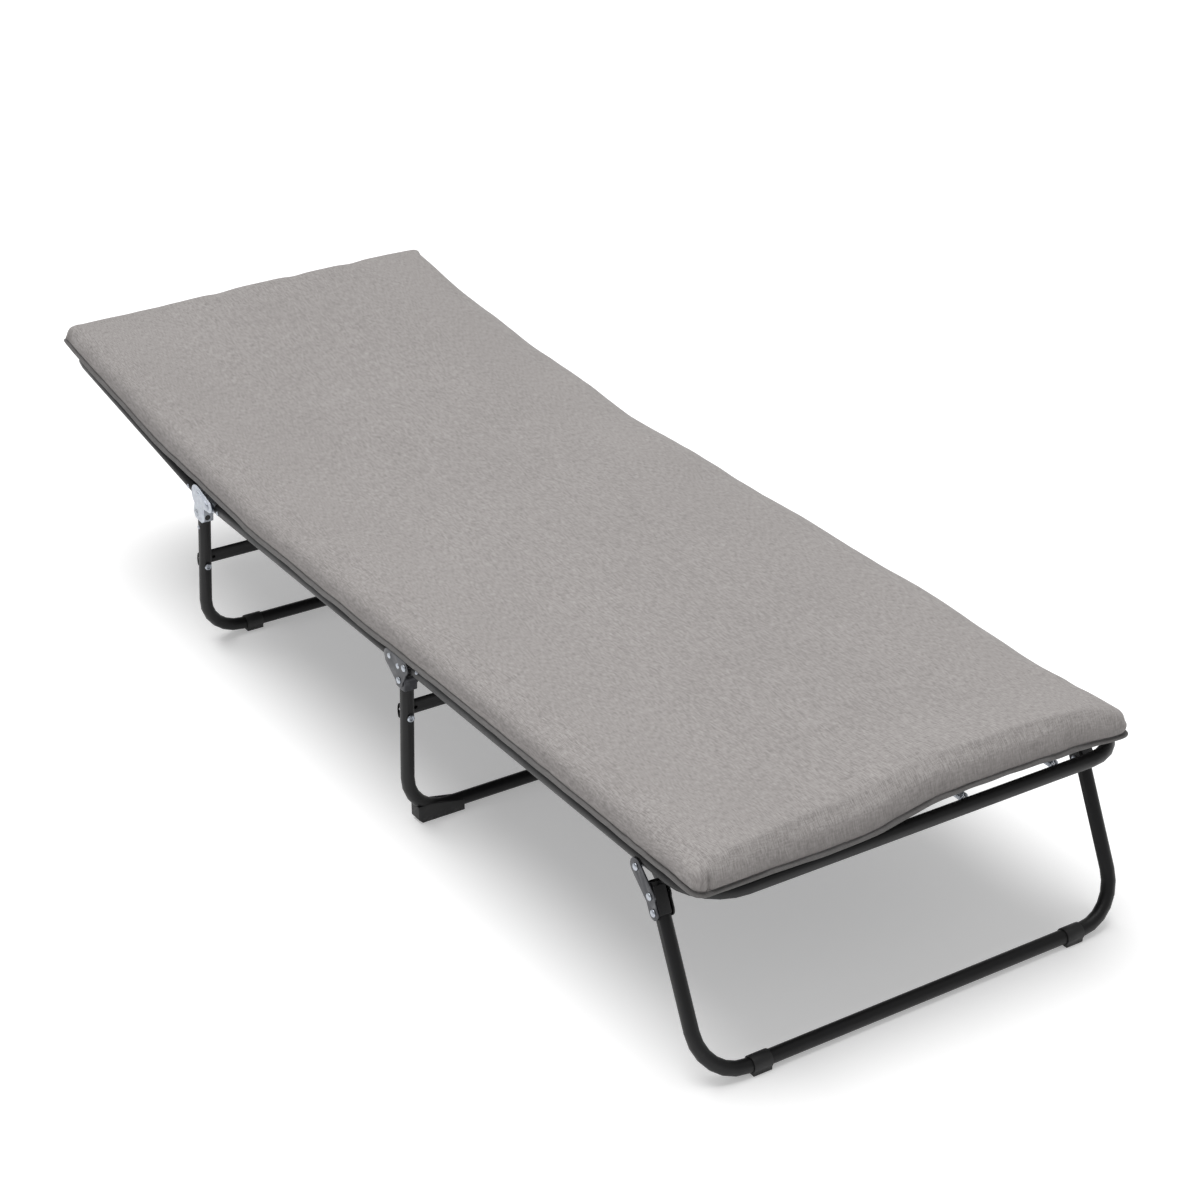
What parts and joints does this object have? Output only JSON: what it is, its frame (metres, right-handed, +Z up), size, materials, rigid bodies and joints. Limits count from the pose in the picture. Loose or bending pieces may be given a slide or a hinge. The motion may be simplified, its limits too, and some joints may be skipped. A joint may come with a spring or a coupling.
{
  "type": "folding cot",
  "caption": "Folding cot: black tube frame in three hinged sections on U-shaped legs, with a ratchet backrest, a spring-hung deck and a grey padded mattress.",
  "frame": {"origin": "on the floor, under the middle of the cot's length and width with the backrest as shown", "axes": "+Z up, +Y towards the head end along the cot's length, X across its width"},
  "size_m": [0.7062, 1.9004, 0.3959],
  "materials": {
    "black_paint": "satin",
    "dark_steel": "satin",
    "zinc_steel": "satin",
    "black_plastic": "matte",
    "deck_fabric": "matte",
    "pad_fabric": "matte"
  },
  "bodies": {
    "middle_section": {"deck_middle": "deck_fabric", "fold_hinge_pivot_left": "zinc_steel", "fold_hinge_pivot_right": "zinc_steel", "fold_hinge_plate_inner_left": "dark_steel", "fold_hinge_plate_inner_right": "dark_steel", "fold_hinge_plate_outer_left": "dark_steel", "fold_hinge_plate_outer_right": "dark_steel", "middle_rail_left": "black_paint", "middle_rail_right": "black_paint", "pad_middle": "pad_fabric", "ratchet_middle_arm_left": "zinc_steel", "ratchet_middle_arm_right": "zinc_steel", "ratchet_pivot_left": "zinc_steel", "ratchet_pivot_right": "zinc_steel"},
    "backrest": {"deck_head": "deck_fabric", "head_frame_tube": "black_paint", "pad_head": "pad_fabric", "ratchet_head_arm_left": "zinc_steel", "ratchet_head_arm_right": "zinc_steel"},
    "foot_section": {"deck_foot": "deck_fabric", "fold_hinge_tongue_left": "black_plastic", "fold_hinge_tongue_right": "black_plastic", "foot_frame_tube": "black_paint", "foot_spring_1": "zinc_steel", "foot_spring_2": "zinc_steel", "foot_spring_3": "zinc_steel", "foot_spring_4": "zinc_steel", "pad_foot": "pad_fabric"},
    "head_leg": {"head_leg_crossbar": "black_paint", "head_leg_crossbar_bolt_left": "zinc_steel", "head_leg_crossbar_bolt_right": "zinc_steel", "head_leg_foot_left": "black_plastic", "head_leg_foot_right": "black_plastic", "head_leg_pivot_left": "zinc_steel", "head_leg_pivot_right": "zinc_steel", "head_leg_tube": "black_paint"},
    "middle_leg": {"middle_leg_boot_left": "black_plastic", "middle_leg_boot_right": "black_plastic", "middle_leg_crossbar": "black_paint", "middle_leg_crossbar_bolt_left": "zinc_steel", "middle_leg_crossbar_bolt_right": "zinc_steel", "middle_leg_pivot_left": "zinc_steel", "middle_leg_pivot_right": "zinc_steel", "middle_leg_tube": "black_paint"},
    "foot_leg": {"foot_leg_bracket_inner_left": "black_paint", "foot_leg_bracket_inner_right": "black_paint", "foot_leg_bracket_outer_left": "dark_steel", "foot_leg_bracket_outer_right": "dark_steel", "foot_leg_foot_left": "black_plastic", "foot_leg_foot_right": "black_plastic", "foot_leg_pivot_left": "zinc_steel", "foot_leg_pivot_right": "zinc_steel", "foot_leg_rivet_1_left": "zinc_steel", "foot_leg_rivet_1_right": "zinc_steel", "foot_leg_rivet_2_left": "zinc_steel", "foot_leg_rivet_2_right": "zinc_steel", "foot_leg_tube": "black_paint"}
  },
  "joints": [
    {"name": "backrest_fold", "type": "hinge", "parent": "middle_section", "child": "backrest", "pos_m": [0, 0.42866, 0.268], "axis": [1, 0, 0], "range_deg": [-9, 96]},
    {"name": "foot_fold", "type": "hinge", "parent": "middle_section", "child": "foot_section", "pos_m": [0, -0.22934, 0.268], "axis": [-1, 0, 0], "range_deg": [0, 105]},
    {"name": "head_leg_fold", "type": "hinge", "parent": "middle_section", "child": "head_leg", "pos_m": [0, 0.43766, 0.242], "axis": [-1, 0, 0], "range_deg": [0, 91]},
    {"name": "middle_leg_fold", "type": "hinge", "parent": "middle_section", "child": "middle_leg", "pos_m": [0, -0.21334, 0.242], "axis": [1, 0, 0], "range_deg": [0, 82]},
    {"name": "foot_leg_fold", "type": "hinge", "parent": "foot_section", "child": "foot_leg", "pos_m": [0, -0.80434, 0.257], "axis": [1, 0, 0], "range_deg": [0, 115]}
  ]
}
